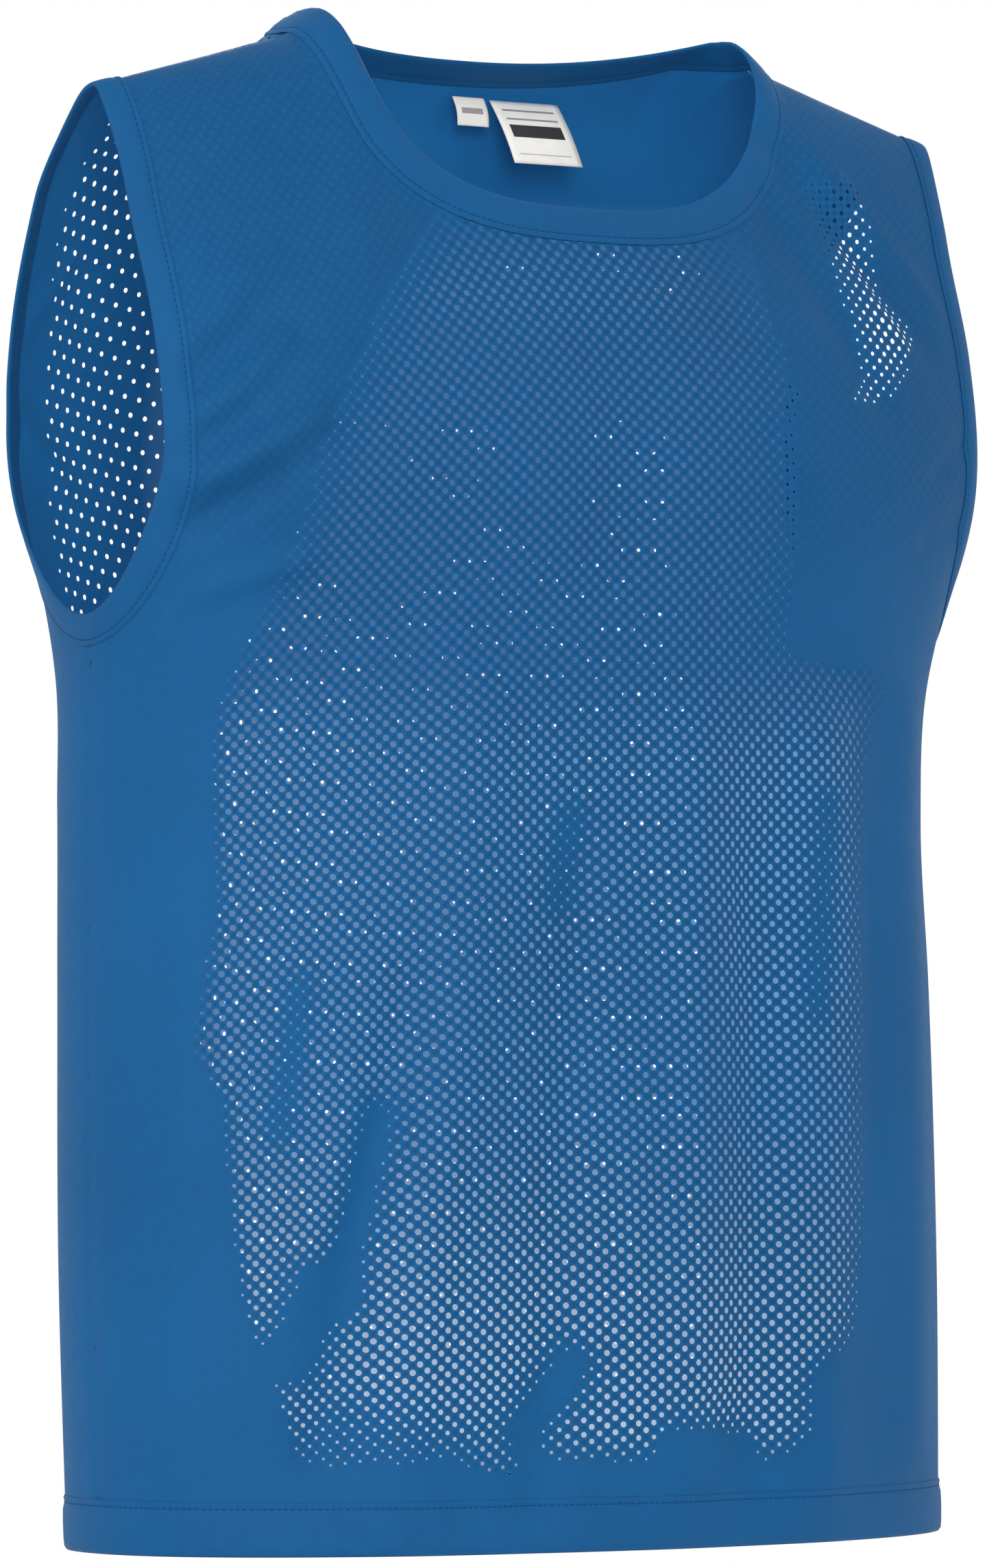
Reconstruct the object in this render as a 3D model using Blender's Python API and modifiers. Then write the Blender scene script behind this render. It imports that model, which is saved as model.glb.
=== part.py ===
"""Training bib: a sleeveless net vest, filled out as if worn, with nobody in it.

Every piece of cloth is worked out in the flat first, as a maker cuts it: "across" is
the distance along the cloth from the panel's middle, "up" the distance from the hem.
wear() then lays that flat place on the filled-out form, and rise() adds the folds.
The wearer faces -Y, the wearer's left is +X, and the shoulders' height is z = 0.
"""

import math
from collections import namedtuple

import bpy
import numpy as np

# ---------------------------------------------------------------- sizes, in metres
NAME = "training_bib"
SHOULDERS_UP = 0.6875    # from the hem's edge up to the origin between the shoulders

PANEL_WALL = 0.0015      # net knit
STRIP_WALL = 0.0025      # bindings and hem, doubled cloth
LABEL_WALL = 0.0010
STRIP_SUNK = 0.0004      # how far a strip's inner face lies inside the panel's
SEAM_GAP = 0.0006        # between two pieces where they are sewn

HEM_TALL = 0.0245        # hem strip
NECK_STRIP = 0.0165      # neck binding's width
ARM_STRIP = 0.0145       # armhole binding's width

NECK_HALF = 0.117        # half the neck's width at the shoulder seam
TIP_HALF = 0.238         # half the shoulders' width, at the armholes' edge
ARMHOLE_LOW = 0.4265     # the armholes' lowest place, up from the hem
ARMHOLE_TURN = 0.078     # how tall the round foot of an armhole is
ARMHOLE_CHEST = 0.500    # height at which the chest's half width below is taken

Section = namedtuple("Section", "up half front back middle square_front square_back")
SECTIONS = [  # front and back are depths from the shoulder seams' plane; middle is the side seams' y
    Section(0.000, 0.2300, 0.1120, 0.1220, 0.004, 2.1, 2.3),
    Section(0.130, 0.2315, 0.1120, 0.1280, 0.009, 2.1, 2.3),
    Section(0.260, 0.2305, 0.1060, 0.1290, 0.013, 2.1, 2.3),
    Section(0.340, 0.2290, 0.1000, 0.1310, 0.016, 2.1, 2.3),
    Section(0.400, 0.2310, 0.0990, 0.1340, 0.012, 2.1, 2.3),
    Section(0.440, 0.2390, 0.1010, 0.1360, 0.006, 2.1, 2.4),
    Section(0.500, 0.2600, 0.1030, 0.1370, 0.001, 2.1, 2.5),
    Section(0.560, 0.2620, 0.0860, 0.1310, 0.000, 2.1, 2.5),
    Section(0.620, 0.2520, 0.0560, 0.1120, 0.000, 2.1, 2.5),
    Section(0.660, 0.2450, 0.0440, 0.0850, 0.000, 2.1, 2.5),
    Section(0.700, 0.2430, 0.0400, 0.0700, 0.000, 2.1, 2.5),
    Section(0.780, 0.2430, 0.0400, 0.0700, 0.000, 2.1, 2.5),
]

Shoulder = namedtuple("Shoulder", "across up")
SHOULDER_SEAM = [  # the seam's height above the hem, from the neck out to the arm
    Shoulder(0.000, 0.7090),
    Shoulder(0.117, 0.7090),
    Shoulder(0.136, 0.6950),
    Shoulder(0.170, 0.6850),
    Shoulder(0.238, 0.6660),
    Shoulder(0.260, 0.6600),
]

Cut = namedtuple("Cut", "side round_up round_long neck_drop neck_square arm_chest arm_square")
CUTS = {  # round_up is the height in which a panel turns over the shoulder, round_long its length
    "front": Cut(-1.0, 0.050, 0.076, 0.1165, 0.70, 0.2405, 0.50),
    "back": Cut(1.0, 0.045, 0.092, 0.0440, 0.90, 0.2460, 0.53),
}

Fold = namedtuple("Fold", "panel across up to_across to_up half_wide rise")
FOLDS = [  # a ridge has a rise above zero and a trough one below it
    Fold("front", -0.232, 0.523, -0.184, 0.562, 0.008, -0.0030),
    Fold("front", -0.230, 0.497, -0.188, 0.520, 0.008, -0.0030),
    Fold("front", -0.231, 0.467, -0.180, 0.497, 0.009, -0.0040),
    Fold("front", -0.120, 0.620, -0.205, 0.480, 0.020, 0.0030),
    Fold("front", 0.112, 0.664, 0.198, 0.564, 0.010, -0.0040),
    Fold("front", 0.104, 0.636, 0.155, 0.530, 0.010, -0.0030),
    Fold("front", -0.005, 0.560, -0.012, 0.440, 0.026, -0.0040),
    Fold("front", -0.202, 0.438, -0.118, 0.418, 0.017, -0.0030),
    Fold("front", -0.094, 0.420, 0.000, 0.438, 0.014, -0.0018),
    Fold("front", 0.030, 0.436, 0.136, 0.406, 0.019, -0.0028),
    Fold("front", -0.084, 0.400, -0.134, 0.010, 0.024, 0.0060),
    Fold("front", -0.036, 0.330, -0.068, 0.010, 0.017, -0.0050),
    Fold("front", 0.034, 0.380, 0.006, 0.010, 0.024, 0.0060),
    Fold("front", -0.122, 0.270, -0.174, 0.040, 0.014, -0.0060),
    Fold("front", -0.226, 0.300, -0.240, 0.030, 0.016, 0.0040),
    Fold("front", 0.066, 0.320, 0.052, 0.030, 0.016, -0.0040),
    Fold("front", 0.116, 0.390, 0.096, 0.010, 0.024, 0.0050),
    Fold("front", 0.190, 0.400, 0.176, 0.040, 0.022, 0.0035),
    Fold("back", -0.190, 0.610, -0.110, 0.470, 0.022, 0.0035),
    Fold("back", 0.180, 0.620, 0.120, 0.480, 0.020, 0.0030),
    Fold("back", 0.006, 0.640, 0.000, 0.460, 0.028, -0.0045),
    Fold("back", -0.232, 0.520, -0.180, 0.490, 0.010, -0.0030),
    Fold("back", 0.234, 0.500, 0.182, 0.480, 0.010, -0.0030),
    Fold("back", -0.150, 0.436, -0.060, 0.404, 0.022, -0.0020),
    Fold("back", 0.060, 0.400, 0.150, 0.430, 0.024, -0.0024),
    Fold("back", -0.170, 0.380, -0.190, 0.010, 0.024, 0.0050),
    Fold("back", -0.104, 0.340, -0.124, 0.010, 0.018, -0.0050),
    Fold("back", -0.050, 0.390, -0.060, 0.010, 0.026, 0.0060),
    Fold("back", 0.018, 0.300, 0.010, 0.020, 0.018, -0.0045),
    Fold("back", 0.082, 0.390, 0.076, 0.010, 0.026, 0.0055),
    Fold("back", 0.140, 0.280, 0.150, 0.030, 0.018, -0.0045),
    Fold("back", 0.200, 0.380, 0.214, 0.020, 0.022, 0.0045),
]
FOLD_ENDS_IN = 0.045     # a fold dies away over this length at each end
FOLD_CLEAR = 0.030       # and over this distance from a side or shoulder seam

Label = namedtuple("Label", "across wide hang_across hang_in hang_down up")
LABELS = {  # a label hangs from the back neck seam, swung sideways and inwards by these amounts
    "label_size": Label(0.006, 0.0180, 0.001, 0.003, 0.0140, 0.6915),
    "label_main": Label(0.028, 0.0390, 0.003, 0.017, 0.0310, 0.6905),
}
LABEL_OFF = 0.0022       # from the back panel's inner face to the label
LABEL_BOW = 0.0015       # how far a label bows inwards at its middle

# how finely each piece is divided, the same on both sides of a seam
SIDE_COLUMNS = 7         # from an armhole to the neck, at the shoulder seam
NECK_COLUMNS = 24
COLUMNS = NECK_COLUMNS + 2 * SIDE_COLUMNS
BODY_ROWS = 16           # hem strip to armpit
BODY_TOP_CLOSER = 1.35   # power by which the body's rows close up towards the armpit
YOKE_ROWS = 18           # armpit to shoulder
YOKE_ENDS_CLOSER = 0.84  # how much closer the yoke's rows lie at its two ends
STRIP_ROWS = 2
LABEL_COLUMNS = 4
LABEL_ROWS = 5
QUARTER_SAMPLES = 160    # places at which a quarter of a level section is measured
FACING_STEP = 0.002      # distance over which the form's slope is measured

# materials: red, green, blue, roughness, sheen
NET_LOOK = (0.016, 0.110, 0.290, 0.62, 0.25)
STRIP_LOOK = (0.014, 0.100, 0.268, 0.58, 0.30)
LABEL_LOOK = (0.820, 0.820, 0.800, 0.38, 0.10)


# ---------------------------------------------------------------- the filled-out form
def smooth_between(at, places, amounts):
    """Cubic curve through a table's rows, for numbers or arrays of them."""
    places = np.asarray(places)
    amounts = np.asarray(amounts)
    slopes = np.gradient(amounts, places)
    at = np.clip(at, places[0], places[-1])
    i = np.clip(np.searchsorted(places, at, side="right") - 1, 0, len(places) - 2)
    step = places[i + 1] - places[i]
    f = (at - places[i]) / step
    ends = (2 * f**3 - 3 * f**2 + 1) * amounts[i] + (3 * f**2 - 2 * f**3) * amounts[i + 1]
    return ends + ((f**3 - 2 * f**2 + f) * slopes[i] + (f**3 - f**2) * slopes[i + 1]) * step


def section(column, up):
    return smooth_between(up, [row.up for row in SECTIONS], [getattr(row, column) for row in SECTIONS])


def depth(panel, up):
    """How far the panel's middle stands out from the side seams."""
    return section(panel, up) - CUTS[panel].side * section("middle", up)


def squareness(panel, up):
    return section("square_" + panel, up)


QUARTER_ANGLES = np.linspace(0.0, math.pi / 2, QUARTER_SAMPLES)


def quarter(half, deep, square):
    """A quarter of one level section, from the panel's middle to its side: x, depth and length so far."""
    x = half * np.sin(QUARTER_ANGLES) ** (2 / square)
    out = deep * np.maximum(np.cos(QUARTER_ANGLES), 0.0) ** (2 / square)
    steps = np.hypot(np.diff(x), np.diff(out))
    return x, out, np.concatenate([[0.0], np.cumsum(steps)])


def side_at(panel, up):
    """Half the panel's width along the cloth, from its middle to the side seam."""
    return quarter(float(section("half", up)), float(depth(panel, up)), float(squareness(panel, up)))[2][-1]


def seam_up(panel, across):
    """Where the shoulder seam lies in the flat."""
    cut = CUTS[panel]
    shoulder = np.interp(abs(across), [s.across for s in SHOULDER_SEAM], [s.up for s in SHOULDER_SEAM])
    return float(shoulder) + cut.round_long - cut.round_up


def wear(panel, across, up):
    """The place on the filled-out form of a place on the flat panel."""
    cut = CUTS[panel]
    over = seam_up(panel, across) - up
    turn = min(max(over / cut.round_long, 0.0), 1.0) * math.pi / 2
    level = up
    if over < cut.round_long:
        level = seam_up(panel, across) - cut.round_long + cut.round_up * math.cos(turn)
    deep = float(depth(panel, level)) * math.sin(turn)
    x, out, long = quarter(float(section("half", level)), deep, float(squareness(panel, level)))
    side = math.copysign(float(np.interp(abs(across), long, x)), across)
    middle = float(section("middle", level)) * math.sin(turn)
    return np.array([side, middle + cut.side * float(np.interp(abs(across), long, out)), level - SHOULDERS_UP])


# ---------------------------------------------------------------- folds
def ease(f):
    f = min(max(f, 0.0), 1.0)
    return f * f * (3 - 2 * f)


def fold_height(fold, across, up):
    """One fold's rise at a place: a soft ridge along a line, dying away at its ends."""
    run = np.array([fold.to_across - fold.across, fold.to_up - fold.up])
    long = float(np.hypot(*run))
    away = np.array([across - fold.across, up - fold.up])
    along = float(away @ run) / long
    off = float(away[0] * run[1] - away[1] * run[0]) / long
    ends = ease(along / FOLD_ENDS_IN + 0.5) * ease((long - along) / FOLD_ENDS_IN + 0.5)
    return fold.rise * ends * math.exp(-((off / fold.half_wide) ** 2))


def rise(panel, across, up):
    """All the folds at a place, none of which reaches a side or shoulder seam."""
    clear = ease((side_at(panel, up) - abs(across)) / FOLD_CLEAR)
    clear *= ease((seam_up(panel, across) - up) / FOLD_CLEAR)
    return clear * sum(fold_height(fold, across, up) for fold in FOLDS if fold.panel == panel)


def facing(panel, across, up):
    """The outward direction of the form, without its folds."""
    inner = across - math.copysign(FACING_STEP, across)
    lower = up - FACING_STEP
    sideways = (wear(panel, across, lower) - wear(panel, inner, lower)) * math.copysign(1.0, across)
    upwards = wear(panel, inner, up) - wear(panel, inner, lower)
    out = np.cross(sideways, upwards) * -CUTS[panel].side
    return out / np.linalg.norm(out)


def cloth_point(panel, across, up, lift=0.0):
    """A point of the cloth's inner face, or that far outside it."""
    return wear(panel, across, up) + facing(panel, across, up) * (rise(panel, across, up) + lift)


# ---------------------------------------------------------------- the cut
def neck_edge(panel, inset):
    """The neck's curve in the flat, or one that far inside the panel, from the wearer's right."""
    cut = CUTS[panel]
    half = NECK_HALF + inset
    top = seam_up(panel, half)
    low = seam_up(panel, 0.0) - cut.neck_drop - inset
    places = []
    for i in range(NECK_COLUMNS + 1):
        angle = math.pi / 2 * (2 * i / NECK_COLUMNS - 1)
        across = half * abs(math.sin(angle)) ** cut.neck_square
        up = top - (top - low) * max(math.cos(angle), 0.0) ** cut.neck_square
        places.append((math.copysign(across, angle), up))
    return places


def yoke_share(row):
    """How far up from the armpit to the shoulder a row of the yoke is, from 0 to 1."""
    even = row / YOKE_ROWS
    return even + (0.5 - 0.5 * math.cos(math.pi * even) - even) * YOKE_ENDS_CLOSER


def armhole_edge(panel, inset):
    """The armhole's curve in the flat, or one that far inside the panel, from armpit to shoulder."""
    cut = CUTS[panel]
    low = ARMHOLE_LOW - inset
    tip = TIP_HALF - inset
    top = seam_up(panel, tip)
    places = []
    for row in range(YOKE_ROWS + 1):
        up = low + (top - low) * yoke_share(row)
        edge = float(np.interp(up, [ARMHOLE_CHEST, top], [cut.arm_chest - inset, tip]))
        turned = min((up - low) / ARMHOLE_TURN, 1.0)
        full = side_at(panel, up)
        places.append((full - (full - edge) * (1 - (1 - turned) ** 2) ** cut.arm_square, up))
    return places


def panel_grid(panel):
    """Rows of cloth points from the hem strip to the shoulders and neck."""
    armhole = armhole_edge(panel, ARM_STRIP + SEAM_GAP)
    neck = neck_edge(panel, NECK_STRIP + SEAM_GAP)
    outer = armhole[-1][0]
    inner = neck[-1][0]
    shoulder = [outer + (inner - outer) * i / SIDE_COLUMNS for i in range(SIDE_COLUMNS)]
    tops = [(-across, seam_up(panel, across)) for across in shoulder]
    tops += neck + [(-across, up) for across, up in reversed(tops)]
    tops = [(across, min(up, seam_up(panel, across) - SEAM_GAP)) for across, up in tops]
    places = [2 * i / COLUMNS - 1 for i in range(COLUMNS + 1)]
    foot = HEM_TALL + SEAM_GAP
    armpit = armhole[0][1]
    rows = []
    for i in range(BODY_ROWS):
        up = armpit - (armpit - foot) * (1 - i / BODY_ROWS) ** BODY_TOP_CLOSER
        rows.append([(place * (side_at(panel, up) - SEAM_GAP / 2), up) for place in places])
    wide = side_at(panel, armpit) - SEAM_GAP / 2
    for i in range(YOKE_ROWS + 1):
        f = yoke_share(i)
        pulled = min(armhole[i][0], wide) - (wide + (outer - wide) * f)
        row = []
        for place, (top_across, top_up) in zip(places, tops):
            across = place * wide + (top_across - place * wide) * f + pulled * place * abs(place)
            row.append((across, armpit + (top_up - armpit) * f))
        rows.append(row)
    return [[cloth_point(panel, across, up) for across, up in row] for row in rows]


# ---------------------------------------------------------------- strips sewn round the edges
def strip(inner_edge, outer_edge):
    """Rows of points across a closed strip, between two edges of (panel, across, up)."""
    rows = []
    for i in range(STRIP_ROWS + 1):
        f = i / STRIP_ROWS
        row = []
        for (panel, across, up), (_, to_across, to_up) in zip(inner_edge, outer_edge):
            place = (across + (to_across - across) * f, up + (to_up - up) * f)
            row.append(cloth_point(panel, *place, -STRIP_SUNK))
        rows.append(row)
    return rows


def neck_strip():
    edges = []
    for inset in (NECK_STRIP, 0.0):
        front = [("front", across, up) for across, up in neck_edge("front", inset)]
        back = [("back", -across, up) for across, up in neck_edge("back", inset)]
        edges.append(front[:-1] + back[:-1])
    return strip(*edges)


def armhole_strip(side):
    """side is -1 for the wearer's right and 1 for the left."""
    edges = []
    for inset in (ARM_STRIP, 0.0):
        front = [("front", side * across, up) for across, up in armhole_edge("front", inset)]
        back = [("back", side * across, up) for across, up in armhole_edge("back", inset)]
        edges.append(front[:-1] + back[:0:-1])
    return strip(*edges)


def hem_strip():
    edges = []
    for up in (0.0, HEM_TALL):
        edge = []
        for panel, turn in (("front", 1.0), ("back", -1.0)):
            side = side_at(panel, up)
            edge += [(panel, turn * side * (2 * i / COLUMNS - 1), up) for i in range(COLUMNS)]
        edges.append(edge)
    return strip(*edges)


def label_grid(label):
    """A ribbon sewn by its upper edge inside the back neck, hanging down and bowed a little."""
    rows = []
    for i in range(LABEL_ROWS + 1):
        f = i / LABEL_ROWS
        bow = LABEL_BOW * math.sin(math.pi * f)
        swing = np.array([label.hang_across * f, -label.hang_in * f - bow, -label.hang_down * f])
        row = []
        for j in range(LABEL_COLUMNS + 1):
            across = label.across + label.wide * j / LABEL_COLUMNS
            row.append(cloth_point("back", across, label.up, -LABEL_OFF) + swing)
        rows.append(row)
    return rows[::-1]


# ---------------------------------------------------------------- objects
def material(name, look):
    mat = bpy.data.materials.new(name)
    mat.use_nodes = True
    shader = mat.node_tree.nodes["Principled BSDF"]
    shader.inputs["Base Color"].default_value = (*look[:3], 1.0)
    shader.inputs["Roughness"].default_value = look[3]
    shader.inputs["Sheen Weight"].default_value = look[4]
    shader.inputs["Metallic"].default_value = 0.0
    mat.diffuse_color = (*look[:3], 1.0)
    return mat


def cloth(name, rows, closed, flip, wall, look, collection):
    """One piece: the cloth's inner face as a sheet or ring, thickened outwards."""
    count = len(rows[0])
    points = [tuple(point) for row in rows for point in row]
    faces = []
    for i in range(len(rows) - 1):
        for j in range(count if closed else count - 1):
            k = (j + 1) % count
            face = (i * count + j, i * count + k, (i + 1) * count + k, (i + 1) * count + j)
            faces.append(face[::-1] if flip else face)
    mesh = bpy.data.meshes.new(name)
    mesh.from_pydata(points, [], faces)
    mesh.shade_smooth()
    piece = bpy.data.objects.new(name, mesh)
    thicken = piece.modifiers.new("thickness", "SOLIDIFY")
    thicken.thickness = wall
    thicken.offset = 1.0
    mesh.materials.append(material(name, look))
    collection.objects.link(piece)
    return piece


def build():
    for old in list(bpy.data.objects):
        bpy.data.objects.remove(old, do_unlink=True)
    collection = bpy.data.collections.new(NAME)
    bpy.context.scene.collection.children.link(collection)
    cloth("front", panel_grid("front"), False, False, PANEL_WALL, NET_LOOK, collection)
    cloth("back", panel_grid("back"), False, True, PANEL_WALL, NET_LOOK, collection)
    cloth("neck_band", neck_strip(), True, False, STRIP_WALL, STRIP_LOOK, collection)
    cloth("armhole_band_right", armhole_strip(-1.0), True, False, STRIP_WALL, STRIP_LOOK, collection)
    cloth("armhole_band_left", armhole_strip(1.0), True, True, STRIP_WALL, STRIP_LOOK, collection)
    cloth("hem_band", hem_strip(), True, False, STRIP_WALL, STRIP_LOOK, collection)
    for name, label in LABELS.items():
        cloth(name, label_grid(label), False, True, LABEL_WALL, LABEL_LOOK, collection)


build()
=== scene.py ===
import math
from collections import namedtuple

import bpy
import numpy as np
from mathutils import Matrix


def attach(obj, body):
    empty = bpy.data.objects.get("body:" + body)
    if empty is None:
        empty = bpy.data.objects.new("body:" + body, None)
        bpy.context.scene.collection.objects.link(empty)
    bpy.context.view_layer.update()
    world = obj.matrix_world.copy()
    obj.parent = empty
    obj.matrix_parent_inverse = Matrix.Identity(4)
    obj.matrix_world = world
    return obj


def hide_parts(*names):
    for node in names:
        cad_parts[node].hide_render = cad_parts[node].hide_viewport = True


# Looks of a net training bib that is filled out with nobody in it. Places on the cloth are
# given in the flat, as in the solids: "across" from a panel's middle along the cloth, "up"
# from the hem, in metres. wear() lays them on the filled-out form, and rise() adds folds.
# "lift" is the distance outwards from a panel's inner face.

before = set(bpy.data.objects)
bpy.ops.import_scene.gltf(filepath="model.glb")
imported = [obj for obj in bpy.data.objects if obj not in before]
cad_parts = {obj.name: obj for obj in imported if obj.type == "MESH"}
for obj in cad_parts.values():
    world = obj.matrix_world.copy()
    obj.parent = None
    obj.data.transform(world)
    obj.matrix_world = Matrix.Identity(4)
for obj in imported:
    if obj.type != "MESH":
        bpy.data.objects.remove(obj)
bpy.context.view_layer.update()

# ---------------------------------------------------------------- sizes, in metres
SHOULDERS_UP = 0.6875    # from the hem's edge up to the origin between the shoulders
HEM_TALL = 0.0245
NECK_STRIP = 0.0165      # neck binding's width
ARM_STRIP = 0.0145       # armhole binding's width
NECK_HALF = 0.117        # half the neck's width at the shoulder seam
TIP_HALF = 0.238         # half the shoulders' width, at the armholes' edge
ARMHOLE_LOW = 0.4265     # the armholes' lowest place, up from the hem
ARMHOLE_TURN = 0.078     # how tall the round foot of an armhole is
ARMHOLE_CHEST = 0.500    # height at which the chest's half width below is taken

Section = namedtuple("Section", "up half front back middle square_front square_back")
SECTIONS = [  # front and back are depths from the shoulder seams' plane; middle is the side seams' y
    Section(0.000, 0.2300, 0.1120, 0.1220, 0.004, 2.1, 2.3),
    Section(0.130, 0.2315, 0.1120, 0.1280, 0.009, 2.1, 2.3),
    Section(0.260, 0.2305, 0.1060, 0.1290, 0.013, 2.1, 2.3),
    Section(0.340, 0.2290, 0.1000, 0.1310, 0.016, 2.1, 2.3),
    Section(0.400, 0.2310, 0.0990, 0.1340, 0.012, 2.1, 2.3),
    Section(0.440, 0.2390, 0.1010, 0.1360, 0.006, 2.1, 2.4),
    Section(0.500, 0.2600, 0.1030, 0.1370, 0.001, 2.1, 2.5),
    Section(0.560, 0.2620, 0.0860, 0.1310, 0.000, 2.1, 2.5),
    Section(0.620, 0.2520, 0.0560, 0.1120, 0.000, 2.1, 2.5),
    Section(0.660, 0.2450, 0.0440, 0.0850, 0.000, 2.1, 2.5),
    Section(0.700, 0.2430, 0.0400, 0.0700, 0.000, 2.1, 2.5),
    Section(0.780, 0.2430, 0.0400, 0.0700, 0.000, 2.1, 2.5),
]

Shoulder = namedtuple("Shoulder", "across up")
SHOULDER_SEAM = [  # the seam's height above the hem, from the neck out to the arm
    Shoulder(0.000, 0.7090),
    Shoulder(0.117, 0.7090),
    Shoulder(0.136, 0.6950),
    Shoulder(0.170, 0.6850),
    Shoulder(0.238, 0.6660),
    Shoulder(0.260, 0.6600),
]

Cut = namedtuple("Cut", "side round_up round_long neck_drop neck_square arm_chest arm_square")
CUTS = {  # round_up is the height in which a panel turns over the shoulder, round_long its length
    "front": Cut(-1.0, 0.050, 0.076, 0.1165, 0.70, 0.2405, 0.50),
    "back": Cut(1.0, 0.045, 0.092, 0.0440, 0.90, 0.2460, 0.53),
}

Fold = namedtuple("Fold", "panel across up to_across to_up half_wide rise")
FOLDS = [  # the solids' folds: a ridge has a rise above zero and a trough one below it
    Fold("front", -0.232, 0.523, -0.184, 0.562, 0.008, -0.0030),
    Fold("front", -0.230, 0.497, -0.188, 0.520, 0.008, -0.0030),
    Fold("front", -0.231, 0.467, -0.180, 0.497, 0.009, -0.0040),
    Fold("front", -0.120, 0.620, -0.205, 0.480, 0.020, 0.0030),
    Fold("front", 0.112, 0.664, 0.198, 0.564, 0.010, -0.0040),
    Fold("front", 0.104, 0.636, 0.155, 0.530, 0.010, -0.0030),
    Fold("front", -0.005, 0.560, -0.012, 0.440, 0.026, -0.0040),
    Fold("front", -0.202, 0.438, -0.118, 0.418, 0.017, -0.0030),
    Fold("front", -0.094, 0.420, 0.000, 0.438, 0.014, -0.0018),
    Fold("front", 0.030, 0.436, 0.136, 0.406, 0.019, -0.0028),
    Fold("front", -0.084, 0.400, -0.134, 0.010, 0.024, 0.0060),
    Fold("front", -0.036, 0.330, -0.068, 0.010, 0.017, -0.0050),
    Fold("front", 0.034, 0.380, 0.006, 0.010, 0.024, 0.0060),
    Fold("front", -0.122, 0.270, -0.174, 0.040, 0.014, -0.0060),
    Fold("front", -0.226, 0.300, -0.240, 0.030, 0.016, 0.0040),
    Fold("front", 0.066, 0.320, 0.052, 0.030, 0.016, -0.0040),
    Fold("front", 0.116, 0.390, 0.096, 0.010, 0.024, 0.0050),
    Fold("front", 0.190, 0.400, 0.176, 0.040, 0.022, 0.0035),
    Fold("back", -0.190, 0.610, -0.110, 0.470, 0.022, 0.0035),
    Fold("back", 0.180, 0.620, 0.120, 0.480, 0.020, 0.0030),
    Fold("back", 0.006, 0.640, 0.000, 0.460, 0.028, -0.0045),
    Fold("back", -0.232, 0.520, -0.180, 0.490, 0.010, -0.0030),
    Fold("back", 0.234, 0.500, 0.182, 0.480, 0.010, -0.0030),
    Fold("back", -0.150, 0.436, -0.060, 0.404, 0.022, -0.0020),
    Fold("back", 0.060, 0.400, 0.150, 0.430, 0.024, -0.0024),
    Fold("back", -0.170, 0.380, -0.190, 0.010, 0.024, 0.0050),
    Fold("back", -0.104, 0.340, -0.124, 0.010, 0.018, -0.0050),
    Fold("back", -0.050, 0.390, -0.060, 0.010, 0.026, 0.0060),
    Fold("back", 0.018, 0.300, 0.010, 0.020, 0.018, -0.0045),
    Fold("back", 0.082, 0.390, 0.076, 0.010, 0.026, 0.0055),
    Fold("back", 0.140, 0.280, 0.150, 0.030, 0.018, -0.0045),
    Fold("back", 0.200, 0.380, 0.214, 0.020, 0.022, 0.0045),
]
CREASES = [  # smaller than what the solids hold
    Fold("front", -0.228, 0.545, -0.176, 0.590, 0.0060, 0.0024),
    Fold("front", -0.226, 0.512, -0.178, 0.548, 0.0065, 0.0036),
    Fold("front", -0.226, 0.482, -0.166, 0.516, 0.0070, 0.0044),
    Fold("front", -0.228, 0.462, -0.182, 0.490, 0.0060, -0.0034),
    Fold("front", -0.222, 0.434, -0.170, 0.450, 0.0060, 0.0028),
    Fold("front", -0.190, 0.530, -0.166, 0.560, 0.0070, -0.0022),
    Fold("front", 0.150, 0.650, 0.216, 0.580, 0.0060, 0.0014),
    Fold("front", 0.132, 0.640, 0.180, 0.560, 0.0055, 0.0012),
    Fold("front", 0.230, 0.520, 0.190, 0.500, 0.0060, -0.0016),
    Fold("front", 0.228, 0.480, 0.184, 0.470, 0.0070, -0.0014),
    Fold("front", -0.110, 0.500, -0.060, 0.470, 0.0120, -0.0012),
    Fold("front", 0.060, 0.520, 0.096, 0.470, 0.0130, -0.0012),
    Fold("front", -0.160, 0.400, -0.172, 0.300, 0.0080, -0.0014),
    Fold("front", -0.196, 0.360, -0.206, 0.220, 0.0090, 0.0014),
    Fold("front", -0.150, 0.210, -0.192, 0.090, 0.0080, 0.0016),
    Fold("front", -0.096, 0.180, -0.120, 0.040, 0.0080, -0.0014),
    Fold("front", -0.012, 0.200, -0.022, 0.040, 0.0080, 0.0013),
    Fold("front", 0.000, 0.070, 0.096, 0.040, 0.0090, -0.0014),
    Fold("front", 0.086, 0.250, 0.078, 0.110, 0.0080, 0.0012),
    Fold("front", 0.150, 0.330, 0.140, 0.160, 0.0100, -0.0014),
    Fold("back", -0.228, 0.560, -0.180, 0.600, 0.0060, -0.0014),
    Fold("back", 0.226, 0.570, 0.186, 0.604, 0.0060, -0.0014),
    Fold("back", -0.080, 0.560, -0.040, 0.500, 0.0120, -0.0012),
    Fold("back", 0.070, 0.570, 0.030, 0.500, 0.0120, -0.0012),
    Fold("back", -0.208, 0.400, -0.150, 0.420, 0.0080, -0.0014),
    Fold("back", 0.204, 0.392, 0.156, 0.414, 0.0080, -0.0014),
    Fold("back", -0.146, 0.300, -0.156, 0.120, 0.0090, 0.0013),
    Fold("back", -0.086, 0.240, -0.094, 0.080, 0.0080, 0.0013),
    Fold("back", 0.046, 0.260, 0.040, 0.090, 0.0080, 0.0012),
    Fold("back", 0.110, 0.230, 0.112, 0.060, 0.0080, 0.0014),
    Fold("back", 0.176, 0.300, 0.184, 0.120, 0.0090, -0.0013),
]
FOLD_ENDS_IN = 0.045     # a fold dies away over this length at each end
CREASE_ENDS_IN = 0.018
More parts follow.
